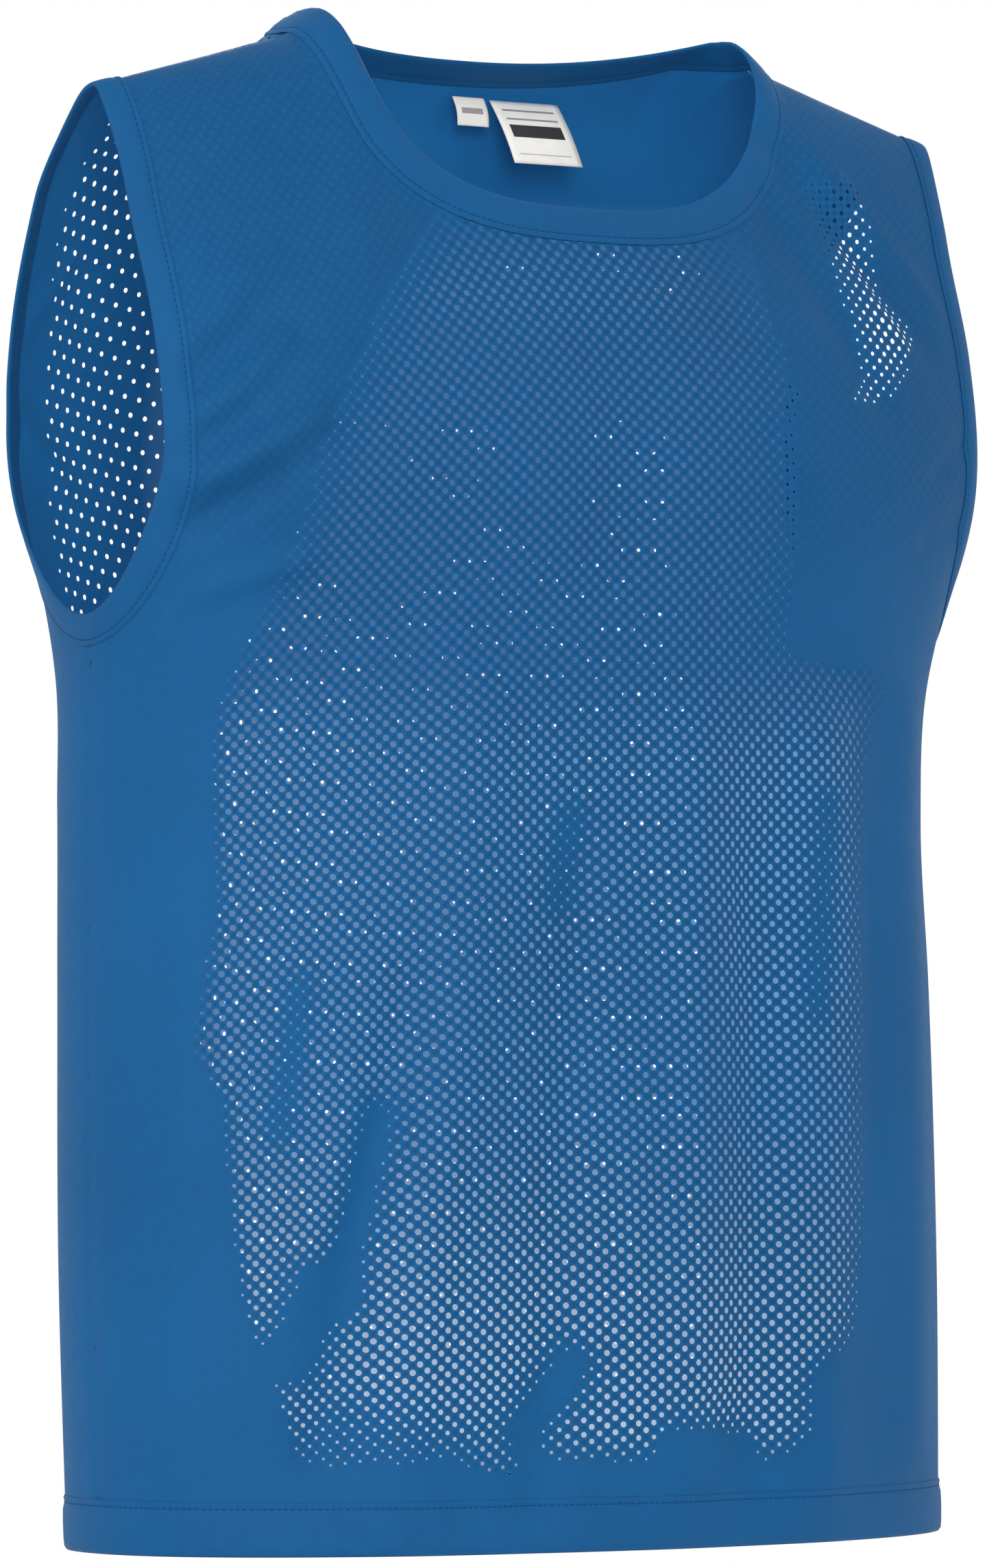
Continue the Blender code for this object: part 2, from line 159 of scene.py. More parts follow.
FOLD_CLEAR = 0.030       # and over this distance from a side or shoulder seam


# ---------------------------------------------------------------- the filled-out form
def smooth_between(at, places, amounts):
    """Cubic curve through a table's rows."""
    places = np.asarray(places)
    amounts = np.asarray(amounts)
    slopes = np.gradient(amounts, places)
    at = np.clip(at, places[0], places[-1])
    i = np.clip(np.searchsorted(places, at, side="right") - 1, 0, len(places) - 2)
    step = places[i + 1] - places[i]
    f = (at - places[i]) / step
    ends = (2 * f**3 - 3 * f**2 + 1) * amounts[i] + (3 * f**2 - 2 * f**3) * amounts[i + 1]
    return ends + ((f**3 - 2 * f**2 + f) * slopes[i] + (f**3 - f**2) * slopes[i + 1]) * step


def section(column, up):
    return smooth_between(up, [row.up for row in SECTIONS], [getattr(row, column) for row in SECTIONS])


def depth(panel, up):
    """How far the panel's middle stands out from the side seams."""
    return section(panel, up) - CUTS[panel].side * section("middle", up)


# A quarter of a level section is tabled for a few squarenesses and depths, then read between them.
SQUARES = np.array([2.0, 2.2, 2.4, 2.6])
ASPECTS = np.linspace(0.0, 0.8, 33)
SHARES = np.linspace(0.0, 1.0, 161)
ARC_ANGLES = np.linspace(0.0, math.pi / 2, 400)


def arc_tables():
    """For each squareness and aspect, the quarter's length and the angle at each share of it."""
    lengths = np.zeros((len(SQUARES), len(ASPECTS)))
    angles = np.zeros((len(SQUARES), len(ASPECTS), len(SHARES)))
    for a, square in enumerate(SQUARES):
        x = np.sin(ARC_ANGLES) ** (2 / square)
        out = np.maximum(np.cos(ARC_ANGLES), 0.0) ** (2 / square)
        for b, aspect in enumerate(ASPECTS):
            long = np.concatenate([[0.0], np.cumsum(np.hypot(np.diff(x), aspect * np.diff(out)))])
            lengths[a, b] = long[-1]
            angles[a, b] = np.interp(SHARES, long / long[-1], ARC_ANGLES)
    return lengths, angles


ARC_LENGTHS, ARC_ANGLE_AT = arc_tables()


def between(value, table):
    """Index and fraction of a value between the evenly spaced rows of a table's scale."""
    place = np.clip((value - table[0]) / (table[1] - table[0]), 0, len(table) - 1.001)
    return place.astype(int), place - place.astype(int)


def read_table(table, square, aspect, share=None):
    a, fa = between(square, SQUARES)
    b, fb = between(aspect, ASPECTS)
    if share is None:
        def at(i, j):
            return table[i, j]
    else:
        c, fc = between(share, SHARES)

        def at(i, j):
            return (1 - fc) * table[i, j, c] + fc * table[i, j, c + 1]
    low = (1 - fb) * at(a, b) + fb * at(a, b + 1)
    high = (1 - fb) * at(a + 1, b) + fb * at(a + 1, b + 1)
    return (1 - fa) * low + fa * high


def side_at(panel, up):
    """Half the panel's width along the cloth, from its middle to the side seam."""
    half = section("half", up)
    return half * read_table(ARC_LENGTHS, section("square_" + panel, up), depth(panel, up) / half)


def seam_up(panel, across):
    """Where the shoulder seam lies in the flat."""
    cut = CUTS[panel]
    seam = np.interp(np.abs(across), [s.across for s in SHOULDER_SEAM], [s.up for s in SHOULDER_SEAM])
    return seam + cut.round_long - cut.round_up


def wear(panel, across, up):
    """Places on the filled-out form of places on the flat panel."""
    cut = CUTS[panel]
    top = seam_up(panel, across)
    over = top - up
    turn = np.clip(over / cut.round_long, 0.0, 1.0) * math.pi / 2
    rounded = top - cut.round_long + cut.round_up * np.cos(turn)
    level = np.where(over < cut.round_long, rounded, up)
    half = section("half", level)
    deep = depth(panel, level) * np.sin(turn)
    square = section("square_" + panel, level)
    share = np.abs(across) / (half * read_table(ARC_LENGTHS, square, deep / half))
    angle = read_table(ARC_ANGLE_AT, square, deep / half, np.clip(share, 0.0, 1.0))
    x = np.sign(across) * half * np.sin(angle) ** (2 / square)
    out = deep * np.maximum(np.cos(angle), 0.0) ** (2 / square)
    y = section("middle", level) * np.sin(turn) + cut.side * out
    return np.stack([x, y, level - SHOULDERS_UP], axis=-1)


def ease(f):
    f = np.clip(f, 0.0, 1.0)
    return f * f * (3 - 2 * f)


def fold_height(fold, across, up, ends_in):
    """One fold's rise: a soft ridge along a line, dying away at its ends."""
    run = np.array([fold.to_across - fold.across, fold.to_up - fold.up])
    long = float(np.hypot(*run))
    along = ((across - fold.across) * run[0] + (up - fold.up) * run[1]) / long
    off = ((across - fold.across) * run[1] - (up - fold.up) * run[0]) / long
    ends = ease(along / ends_in + 0.5) * ease((long - along) / ends_in + 0.5)
    return fold.rise * ends * np.exp(-((off / fold.half_wide) ** 2))


def rise(panel, across, up):
    """All the folds' rise, which reaches no side or shoulder seam."""
    height = np.zeros(np.shape(across))
    for folds, ends_in in ((FOLDS, FOLD_ENDS_IN), (CREASES, CREASE_ENDS_IN)):
        for fold in folds:
            if fold.panel == panel:
                height = height + fold_height(fold, across, up, ends_in)
    clear = ease((side_at(panel, up) - np.abs(across)) / FOLD_CLEAR)
    return height * clear * ease((seam_up(panel, across) - up) / FOLD_CLEAR)


FACING_STEP = 0.002      # distance over which the form's slope is measured


def facing(panel, across, up):
    """The outward directions of the form, without its folds."""
    to_side = np.where(across < 0, -1.0, 1.0)
    inner = across - to_side * FACING_STEP
    lower = up - FACING_STEP
    corner = wear(panel, inner, lower)
    sideways = (wear(panel, across, lower) - corner) * to_side[..., None]
    out = np.cross(sideways, wear(panel, inner, up) - corner) * -CUTS[panel].side
    return out / np.linalg.norm(out, axis=-1, keepdims=True)


def cloth(panel, across, up, lift):
    """Points at a lift outside the cloth's inner face."""
    across, up, lift = np.broadcast_arrays(*(np.asarray(a, float) for a in (across, up, lift)))
    height = rise(panel, across, up) + lift
    return wear(panel, across, up) + facing(panel, across, up) * height[..., None]


# ---------------------------------------------------------------- the cut
def neck_edge(panel, inset, count):
    """The neck's curve in the flat, or one that far inside the panel, from the wearer's right."""
    cut = CUTS[panel]
    half = NECK_HALF + inset
    top = seam_up(panel, half)
    low = seam_up(panel, 0.0) - cut.neck_drop - inset
    angle = math.pi / 2 * np.linspace(-1.0, 1.0, count + 1)
    across = np.sign(angle) * half * np.abs(np.sin(angle)) ** cut.neck_square
    return across, top - (top - low) * np.maximum(np.cos(angle), 0.0) ** cut.neck_square


def outside_neck(panel, across, up, inset):
    cut = CUTS[panel]
    half = NECK_HALF + inset
    top = seam_up(panel, half)
    low = seam_up(panel, 0.0) - cut.neck_drop - inset
    power = 2 / cut.neck_square
    wide = (np.abs(across) / half) ** power
    return (wide + np.clip((top - up) / (top - low), 0.0, None) ** power > 1) | (np.abs(across) > half)


def armhole_at(panel, up, inset):
    """How far out the panel reaches at a height beside the armhole, or its edge that far inside."""
    cut = CUTS[panel]
    tip = TIP_HALF - inset
    edge = np.interp(up, [ARMHOLE_CHEST, seam_up(panel, tip)], [cut.arm_chest - inset, tip])
    turned = np.clip((up - ARMHOLE_LOW + inset) / ARMHOLE_TURN, 0.0, 1.0)
    full = side_at(panel, up)
    return full - (full - edge) * (1 - (1 - turned) ** 2) ** cut.arm_square


EVEN_SHARE = 0.15        # of the even spacing in an armhole's points, which crowd at its ends


def armhole_edge(panel, inset, count):
    """The armhole's curve in the flat, from armpit to shoulder."""
    share = (1 - np.cos(np.linspace(0.0, math.pi, count + 1))) / 2
    share = share * (1 - EVEN_SHARE) + np.linspace(0.0, 1.0, count + 1) * EVEN_SHARE
    low = ARMHOLE_LOW - inset
    up = low + (seam_up(panel, TIP_HALF - inset) - low) * share
    return armhole_at(panel, up, inset), up


# ---------------------------------------------------------------- materials
def linear(red, green, blue):
    """A colour read off a screen, 0 to 255, as the shader takes it."""
    values = [c / 255 for c in (red, green, blue)]
    return [c / 12.92 if c <= 0.04045 else ((c + 0.055) / 1.055) ** 2.4 for c in values]


class Shader:
    """A material's node tree, built by short calls."""

    def __init__(self, name):
        self.material = bpy.data.materials.new(name)
        self.material.use_nodes = True
        self.tree = self.material.node_tree
        self.surface = self.tree.nodes["Principled BSDF"]

    def node(self, kind, links=(), **settings):
        made = self.tree.nodes.new(kind)
        for key, value in settings.items():
            setattr(made, key, value)
        for socket, source in links:
            self.tree.links.new(source, made.inputs[socket])
        return made

    def math(self, operation, a, b):
        made = self.tree.nodes.new("ShaderNodeMath")
        made.operation = operation
        for i, value in enumerate((a, b)):
            if isinstance(value, (int, float)):
                made.inputs[i].default_value = value
            else:
                self.tree.links.new(value, made.inputs[i])
        return made.outputs[0]

    def blend(self, amount, first, second):
        """A colour between two, each a colour or a socket."""
        made = self.tree.nodes.new("ShaderNodeMix")
        made.data_type = "RGBA"
        self.tree.links.new(amount, made.inputs["Factor"])
        for socket, value in (("A", first), ("B", second)):
            place = [s for s in made.inputs if s.name == socket and s.type == "RGBA"][0]
            if isinstance(value, (list, tuple)):
                place.default_value = (*value[:3], 1.0)
            else:
                self.tree.links.new(value, place)
        return [s for s in made.outputs if s.type == "RGBA"][0]

    def ramp(self, value, low, high):
        made = self.tree.nodes.new("ShaderNodeMapRange")
        made.inputs["From Min"].default_value = low
        made.inputs["From Max"].default_value = high
        self.tree.links.new(value, made.inputs["Value"])
        return made.outputs["Result"]

    def noise(self, place, scale, detail=3.0):
        made = self.tree.nodes.new("ShaderNodeTexNoise")
        made.inputs["Scale"].default_value = scale
        made.inputs["Detail"].default_value = detail
        self.tree.links.new(place, made.inputs["Vector"])
        return made.outputs["Fac"]

    def bump(self, height, strength, distance):
        made = self.tree.nodes.new("ShaderNodeBump")
        made.inputs["Strength"].default_value = strength
        made.inputs["Distance"].default_value = distance
        self.tree.links.new(height, made.inputs["Height"])
        self.tree.links.new(made.outputs["Normal"], self.surface.inputs["Normal"])

    def put(self, **values):
        for key, value in values.items():
            socket = self.surface.inputs[key.replace("_", " ").title()]
            if hasattr(value, "is_output"):
                self.tree.links.new(value, socket)
            else:
                socket.default_value = (*value, 1.0) if isinstance(value, (list, tuple)) else value


Reverse = namedtuple("Reverse", "right left low high chest_up foot_up edge chest lower foot")
INNER_GLOWS = {  # painted light on the inner side, as of light through the cloth: its limits and heights, and its colours at the edge and downwards
    "front": Reverse(
        -0.125, 0.125, 0.000, 0.560, 0.370, 0.090,
        linear(24, 102, 158), linear(88, 146, 202), linear(104, 160, 212), linear(120, 172, 218),
    ),
    "back": Reverse(
        -0.128, 0.300, 0.000, 0.640, 0.370, 0.100,
        linear(24, 102, 158), linear(112, 160, 212), linear(158, 200, 238), linear(222, 234, 246),
    ),
}
INNER_GLOW_SOFT = {"front": 0.050, "back": 0.045}
GLOW_FOOT_SOFT = 0.100


def painted_inner_light(s, across, up, base, panel):
    """Mixes in painted light on the inner side: paler all over, much paler inside soft limits and more so
    towards the hem.
    """
    glow = INNER_GLOWS[panel]
    soft = INNER_GLOW_SOFT[panel]
    inside = s.math("MULTIPLY", s.ramp(across, glow.right, glow.right + soft),
                    s.ramp(across, glow.left, glow.left - soft))
    inside = s.math("MULTIPLY", inside, s.ramp(up, glow.low, glow.low + soft))
    inside = s.math("MULTIPLY", inside, s.ramp(up, glow.high, glow.high - soft))
    under = s.ramp(up, glow.chest_up + soft, glow.chest_up)
    torso = s.blend(under, glow.chest, glow.lower)
    foot = s.ramp(up, glow.foot_up + GLOW_FOOT_SOFT, glow.foot_up)
    inner = s.blend(inside, glow.edge, s.blend(foot, torso, glow.foot))
    return s.blend(s.node("ShaderNodeNewGeometry").outputs["Backfacing"], base, inner)


Knit = namedtuple("Knit", "colour roughness sheen wale course deep")
KNITS = {  # wale and course are a stitch's width and height, and deep how far its loops stand out
    "net": Knit(linear(7, 77, 126), 0.62, 0.05, 0.0012, 0.0009, 0.00016),
    "binding": Knit(linear(7, 75, 123), 0.60, 0.06, 0.0010, 0.0008, 0.00016),
    "thread": Knit(linear(7, 64, 110), 0.50, 0.04, 0.0006, 0.0006, 0.00005),
}
SHEEN_TINT = (0.08, 0.48, 0.95, 1.0)
SHEEN_ROUGHNESS = 0.45
KNIT_GLOSS = 0.12
WALE_SHARE = 0.7         # of a stitch's height that comes from its wale, and the rest from its course
LOOP_HEIGHT = 0.8
FUZZ_HEIGHT = 0.5
FUZZ_SCALE = 900.0
BLOTCH_SCALE = 9.0
FINE_SCALE = 160.0
TONE_AND_SHADE_DARKER = 0.86
LIGHTER = 1.12
LIGHTER_BY = 0.004
FINE_SHARE = 0.35
SHADE_BETWEEN_LOOPS = 0.30     # painted shade: how dark it is between stitches
ROUGHER = 0.08
SMOOTHER = 0.05
KNIT_BUMP = 0.5
STRAND_SHADE = 0.62      # painted shade: how dark the net is in the middle between four open holes
STRAND_SHADE_DARK = 0.3


def sine(s, value, long):
    """A wave of that length."""
    return s.math("SINE", s.math("MULTIPLY", value, 2 * math.pi / long), 0.0)


def map_parts(s):
    """The two coordinates of a piece's own map of its cloth."""
    cloth_map = s.node("ShaderNodeUVMap", uv_map="cloth")
    parts = s.node("ShaderNodeSeparateXYZ", [("Vector", cloth_map.outputs["UV"])])
    return parts.outputs["X"], parts.outputs["Y"]


def knit(name, kind, panel=None):
    """Knitted polyester: stitches in rows on the cloth's own map, soft blotches, painted shade between the
    stitches that leaves their heights paler.
    """
    yarn = KNITS[kind]
    s = Shader(name)
    across, up = map_parts(s)
    body = s.node("ShaderNodeTexCoord").outputs["Object"]
    wales = s.math("ABSOLUTE", sine(s, across, yarn.wale), 0.0)
    courses = s.math("ABSOLUTE", sine(s, up, yarn.course), 0.0)
    loops = s.math("ADD", s.math("MULTIPLY", wales, WALE_SHARE),
                   s.math("MULTIPLY", courses, 1 - WALE_SHARE))
    fuzz = s.noise(body, FUZZ_SCALE, 2.0)
    height = s.math("ADD", s.math("MULTIPLY", loops, LOOP_HEIGHT), s.math("MULTIPLY", fuzz, FUZZ_HEIGHT))
    blotch = s.ramp(s.noise(body, BLOTCH_SCALE), 0.3, 0.7)
    fine = s.ramp(s.noise(body, FINE_SCALE), 0.25, 0.75)
    dark_tone_and_shade = [c * TONE_AND_SHADE_DARKER for c in yarn.colour]
    light = [min(c * LIGHTER + LIGHTER_BY, 1.0) for c in yarn.colour]
    base = s.blend(blotch, dark_tone_and_shade, yarn.colour)
    base = s.blend(s.math("MULTIPLY", fine, FINE_SHARE), base, light)
    # painted shade between the stitches' loops; the same darker colour also gives the random blotches
    base = s.blend(s.math("MULTIPLY", s.ramp(loops, 0.55, 0.0), SHADE_BETWEEN_LOOPS), base, dark_tone_and_shade)
    if panel:
        # painted shade where the strands cross and in shut holes, read from the points' shade
        shade = s.node("ShaderNodeAttribute", attribute_name="shade").outputs["Fac"]
        strand_shade = [c * STRAND_SHADE_DARK for c in yarn.colour]
        base = s.blend(s.math("MULTIPLY", shade, STRAND_SHADE), base, strand_shade)
        # painted light: the inner side, seen through the holes, is drawn paler than the cloth
        base = painted_inner_light(s, across, up, base, panel)
    s.put(base_color=base, metallic=0.0)
    s.surface.inputs["Sheen Weight"].default_value = yarn.sheen
    s.surface.inputs["Sheen Roughness"].default_value = SHEEN_ROUGHNESS
    s.surface.inputs["Sheen Tint"].default_value = SHEEN_TINT
    s.surface.inputs["Specular IOR Level"].default_value = KNIT_GLOSS
    rough = s.node("ShaderNodeMapRange", [("Value", fine)])
    rough.inputs["To Min"].default_value = yarn.roughness - SMOOTHER
    rough.inputs["To Max"].default_value = yarn.roughness + ROUGHER
    s.put(roughness=rough.outputs["Result"])
    s.bump(height, KNIT_BUMP, yarn.deep)
    return s.material


LABEL_WHITE = linear(240, 236, 228)
LABEL_GREY = 0.93        # the darker places of its white, as a share
LABEL_BLOTCH_SCALE = 120.0
LABEL_GRAIN_SCALE = 1400.0
LABEL_ROUGHNESS = 0.42
LABEL_SHEEN = 0.15
LABEL_THREADS = 60       # from its foot to its upper edge
LABEL_BUMP = 0.35
LABEL_DEEP = 0.00012


def satin(name, stripes):
    """White woven ribbon with bars across it."""
    s = Shader(name)
    across, up = map_parts(s)
    body = s.node("ShaderNodeTexCoord").outputs["Object"]
    blotch = s.ramp(s.noise(body, LABEL_BLOTCH_SCALE), 0.3, 0.7)
    base = s.blend(blotch, [c * LABEL_GREY for c in LABEL_WHITE], LABEL_WHITE)
    for stripe in stripes:
        inside = s.math("MULTIPLY", s.math("GREATER_THAN", up, stripe.low),
                        s.math("LESS_THAN", up, stripe.high))
        inside = s.math("MULTIPLY", inside, s.math("GREATER_THAN", across, stripe.left))
        inside = s.math("MULTIPLY", inside, s.math("LESS_THAN", across, stripe.right))
        base = s.blend(inside, base, [stripe.shade] * 3)
    s.put(base_color=base, roughness=LABEL_ROUGHNESS, metallic=0.0)
    s.surface.inputs["Sheen Weight"].default_value = LABEL_SHEEN
    threads = sine(s, up, 1 / LABEL_THREADS)
    s.bump(s.math("ADD", threads, s.noise(body, LABEL_GRAIN_SCALE)), LABEL_BUMP, LABEL_DEEP)
    return s.material


# ---------------------------------------------------------------- mesh making
def piece(name, points, faces, corner_places, mat):
    """A smooth-shaded object with a map of its places on the cloth."""
    mesh = bpy.data.meshes.new(name)
    mesh.from_pydata(points.tolist(), [], faces)
    layer = mesh.uv_layers.new(name="cloth")
    layer.data.foreach_set("uv", np.asarray(corner_places, np.float32).ravel())
    mesh.shade_smooth()
    mesh.materials.append(mat)
    made = bpy.data.objects.new(name, mesh)
    bpy.context.scene.collection.objects.link(made)
    return made


# ---------------------------------------------------------------- the net
CLOSED_UNDER = 0.00055   # a smaller hole is knitted shut
NET_TUCK = 0.010         # how far the net reaches in between a strip's two layers
NET_LIFT = 0.00075
STRAND_LIFT = 0.00026    # a strand's middle stands this much over the cloth, a hole's rim under it
GRAIN_FROM = -0.045      # the rows slope from this place across, on the wearer's right
GRAIN_SOFT = 0.030
BUNCH_FROM = -0.130
BUNCH_SOFT = 0.040
SEAM_SUNK = 0.0007       # a seam draws the cloth in by this
SEAM_NEAR = 0.0035
DIMPLE_SHADE_FAINT = 0.10      # painted shade: how dark a shut hole looks, and how much darker on the chest
DIMPLE_SHADE_CHEST = 0.34
DIMPLE_FROM = 0.420
DIMPLE_SOFT = 0.080
SIDES = 8
SITES = np.arange(-90, 210)
RIM_TURNS = math.radians(67.5) + math.radians(45.0) * np.arange(SIDES)

Net = namedtuple("Net", "panel wide tall every hole tilt bunch")
NETS = {  # wide is from site to site along a row, and tall from a row to the next but one, with
    # the row between set off by half. A hole (a radius) is at every so many sites either way.
    # tilt is the rows' slope on the wearer's right, and bunch how much narrower the net is there.
    # The armhole shows the back's net as sparser than the front's.
    "net_front": Net("front", 0.0079, 0.0066, 1, 0.00150, 0.15, 0.26),
    "net_back": Net("back", 0.00435, 0.0079, 2, 0.00140, -0.16, 0.0),
}

Closing = namedtuple("Closing", "up right left")
CLOSINGS = {  # at each height, where the holes have shut, on the wearer's right and left
    "front": [
        Closing(0.000, -0.150, 0.080),
        Closing(0.040, -0.190, 0.105),
        Closing(0.100, -0.209, 0.140),
        Closing(0.150, -0.216, 0.149),
        Closing(0.206, -0.219, 0.151),
        Closing(0.228, -0.232, 0.153),
        Closing(0.295, -0.218, 0.156),
        Closing(0.363, -0.218, 0.164),
        Closing(0.400, -0.214, 0.183),
        Closing(0.457, -0.201, 0.172),
        Closing(0.501, -0.190, 0.168),
        Closing(0.535, -0.172, 0.182),
        Closing(0.566, -0.152, 0.212),
        Closing(0.611, -0.112, 0.206),
        Closing(0.660, -0.086, 0.196),
        Closing(0.700, -0.070, 0.170),
        Closing(0.760, -0.050, 0.120),
    ],
    "back": [
        Closing(0.000, -0.185, 0.190),
        Closing(0.060, -0.200, 0.206),
        Closing(0.300, -0.206, 0.212),
        Closing(0.430, -0.206, 0.206),
        Closing(0.620, -0.210, 0.206),
        Closing(0.670, -0.200, 0.196),
        Closing(0.760, -0.160, 0.170),
    ],
}
Soft = namedtuple("Soft", "up right left")
CLOSING_SOFT = {  # holes grow to full size over these distances
    "front": [Soft(0.380, 0.014, 0.045), Soft(0.450, 0.050, 0.045)],
    "back": [Soft(0.380, 0.040, 0.045), Soft(0.450, 0.010, 0.045)],
}

Shut = namedtuple("Shut", "panel across up to_across to_up half_wide share")
SHUTS = [  # streaks in which the holes are drawn narrow, by a share of their size
    Shut("front", -0.140, 0.206, -0.163, 0.110, 0.010, 0.90),
    Shut("front", -0.166, 0.130, -0.188, 0.080, 0.016, 0.90),
    Shut("front", -0.175, 0.262, -0.189, 0.185, 0.007, 0.60),
    Shut("front", -0.038, 0.340, -0.050, 0.290, 0.009, 0.60),
    Shut("front", 0.112, 0.350, 0.096, 0.240, 0.009, 0.55),
    Shut("front", -0.042, 0.092, -0.080, 0.046, 0.013, 0.85),
    Shut("front", -0.215, 0.085, -0.190, 0.030, 0.022, 0.70),
    Shut("front", -0.172, 0.058, -0.100, 0.038, 0.018, 0.45),
    Shut("front", -0.004, 0.047, 0.056, 0.041, 0.013, 1.00),
    Shut("front", 0.090, 0.084, 0.122, 0.050, 0.018, 0.60),
    Shut("front", -0.230, 0.026, -0.080, 0.024, 0.012, 0.50),
    Shut("front", -0.070, 0.028, 0.130, 0.028, 0.014, 1.00),
    Shut("front", 0.124, 0.530, 0.126, 0.410, 0.037, 1.60),
    Shut("front", 0.104, 0.700, 0.120, 0.535, 0.031, 1.30),
    Shut("front", -0.200, 0.018, 0.010, 0.018, 0.016, 1.60),
    Shut("front", 0.152, 0.700, 0.150, 0.645, 0.022, 1.20),
    Shut("front", 0.190, 0.670, 0.176, 0.580, 0.020, 0.40),
    Shut("back", -0.200, 0.022, 0.200, 0.022, 0.030, 1.80),
    Shut("back", 0.070, 0.600, 0.070, 0.020, 0.150, 0.54),
    Shut("back", 0.060, 0.690, 0.060, 0.540, 0.150, 0.45),
    Shut("back", -0.020, 0.520, 0.030, 0.450, 0.030, 0.45),
    Shut("back", 0.120, 0.530, 0.100, 0.480, 0.024, 0.45),
    Shut("back", -0.118, 0.700, 0.170, 0.700, 0.054, 2.50),
]


def past(start, soft, across):
    """How far a place is past a start towards the wearer's right, growing softly from none."""
    return soft * np.log1p(np.exp((start - across) / soft))


def at_height(rows, column, up):
    return np.interp(up, [row.up for row in rows], [getattr(row, column) for row in rows])


def shut_shade(up):
    """Painted shade of a shut hole's dimple: faint, but plainer to see on the chest."""
    return DIMPLE_SHADE_FAINT + DIMPLE_SHADE_CHEST * ease((up - DIMPLE_FROM) / DIMPLE_SOFT)


def hole_openness(panel, across, up):
    """A hole's size as a share of its widest."""
    rows = CLOSINGS[panel]
    soft = CLOSING_SOFT[panel]
    from_right = (across - at_height(rows, "right", up)) / at_height(soft, "right", up)
    from_left = (at_height(rows, "left", up) - across) / at_height(soft, "left", up)
    openness = ease(from_right) * ease(from_left)
    for shut in SHUTS:
        if shut.panel == panel:
            line = Fold(shut.panel, *shut[1:6], 1.0)
            openness = openness - shut.share * fold_height(line, across, up, CREASE_ENDS_IN)
    return np.clip(openness, 0.0, 1.0)


def in_panel(made, across, up):
    """Which lattice sites the panel is made from, up to a site beyond its side and shoulder seams."""
    panel = made.panel
    kept = up > HEM_TALL - NET_TUCK
    kept &= up < seam_up(panel, across) + made.tall
    kept &= outside_neck(panel, across, up, NECK_STRIP - NET_TUCK)
    inset = ARM_STRIP - NET_TUCK
    beside = up > ARMHOLE_LOW - inset
    reach = np.where(beside, armhole_at(panel, up, inset), side_at(panel, up) + made.wide)
    return kept & (np.abs(across) < reach)


def lattice(made):
    """The panel's sites: their numbers on the grid, where they lie, and which may have a hole."""
    i, j = np.meshgrid(SITES, SITES, indexing="ij")
    across = made.wide * (i - j) / 2
    across = across + made.bunch * past(BUNCH_FROM, BUNCH_SOFT, across)
    up = made.tall * (i + j) / 2 - made.tilt * past(GRAIN_FROM, GRAIN_SOFT, across)
    kept = in_panel(made, across, up)
    number = np.full(kept.shape, -1)
    number[kept] = np.arange(kept.sum())
    holed = ((i % made.every == 0) & (j % made.every == 0))[kept]
    return number, across[kept], up[kept], holed


Points = namedtuple("Points", "across up lift shade")


def rim_points(made, across, up, holed, radius, first):
    """Eight points round each open hole, and one at a site without one."""
    is_open = radius > CLOSED_UNDER
    count = first[-1]
    rims = Points(np.zeros(count), np.zeros(count), np.full(count, NET_LIFT), np.zeros(count))
    rims.across[first[:-1]] = across
    rims.up[first[:-1]] = up
    for k, turn in enumerate(RIM_TURNS):
        at = first[:-1][is_open] + k
        rims.across[at] = across[is_open] + radius[is_open] * math.cos(turn)
        rims.up[at] = up[is_open] + radius[is_open] * math.sin(turn)
        rims.lift[at] = NET_LIFT - STRAND_LIFT * radius[is_open] / made.hole
    shut = holed & ~is_open
    rims.shade[first[:-1][shut]] = shut_shade(up[shut])
    return rims


def middle_points(made, corners, across, up, radius):
    """A raised point in the middle of each four sites, where the strands cross, darkened with painted
    shade.
    """
    is_open = radius > CLOSED_UNDER
    size = np.where(is_open, radius / made.hole, 0.0)
    mean = [np.mean([values[sites] for sites in corners], axis=0) for values in (across, up, is_open, size)]
    return Points(mean[0], mean[1], NET_LIFT + STRAND_LIFT * mean[2], mean[3])


def squares(number):
    """The sites at the four corners of each whole square of the lattice."""
    corners = (number[:-1, :-1], number[1:, :-1], number[:-1, 1:], number[1:, 1:])
    whole = np.all([sites >= 0 for sites in corners], axis=0)
    return [sites[whole] for sites in corners]


def net_faces(number, corners, is_open, first):
    """Triangles that fill each square round its middle, and bridges between neighbouring holes."""
    def rim(site, k):
        return first[site] + np.where(is_open[site], k, 0)

    a, b, c, d = corners
    middles = first[-1] + np.arange(len(a))
    ring = [rim(a, 0), rim(b, 3), rim(b, 2), rim(d, 5), rim(d, 4), rim(c, 7), rim(c, 6), rim(a, 1)]
    fans = [np.stack([middles, ring[k], ring[(k + 1) % SIDES]], axis=-1) for k in range(SIDES)]
    beside = (number[:-1, :] >= 0) & (number[1:, :] >= 0)
    a = number[:-1, :][beside]
    b = number[1:, :][beside]
    bridges = [np.stack([rim(a, 7), rim(b, 4), rim(b, 3), rim(a, 0)], axis=-1)]
    above = (number[:, :-1] >= 0) & (number[:, 1:] >= 0)
    a = number[:, :-1][above]
    c = number[:, 1:][above]
    bridges.append(np.stack([rim(a, 2), rim(a, 1), rim(c, 6), rim(c, 5)], axis=-1))
    return np.concatenate(fans), np.concatenate(bridges)


